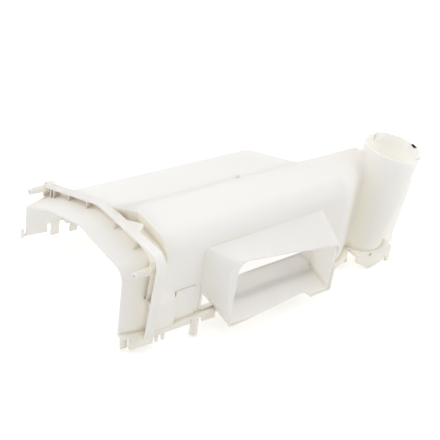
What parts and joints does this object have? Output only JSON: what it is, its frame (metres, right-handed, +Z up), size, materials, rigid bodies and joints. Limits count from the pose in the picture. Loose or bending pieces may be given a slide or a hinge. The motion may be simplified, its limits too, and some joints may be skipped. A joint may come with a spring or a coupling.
{
  "type": "detergent drawer housing",
  "caption": "Thin-walled moulded housing for a washing machine's detergent drawer, with a sloping tray, ribbed front collar, side duct and leaning filling tube.",
  "frame": {"origin": "middle of the part's box, at the height of its lowest point, the tip of the foot under the tube", "axes": "+X to the side with the duct, +Y from the front collar to the filling tube, +Z up with the open side down"},
  "size_m": [0.2426, 0.393, 0.1412],
  "materials": {
    "ivory_plastic": "satin as moulded, slightly translucent"
  },
  "bodies": {
    "root": {"drawer_housing": "ivory_plastic"}
  },
  "joints": []
}
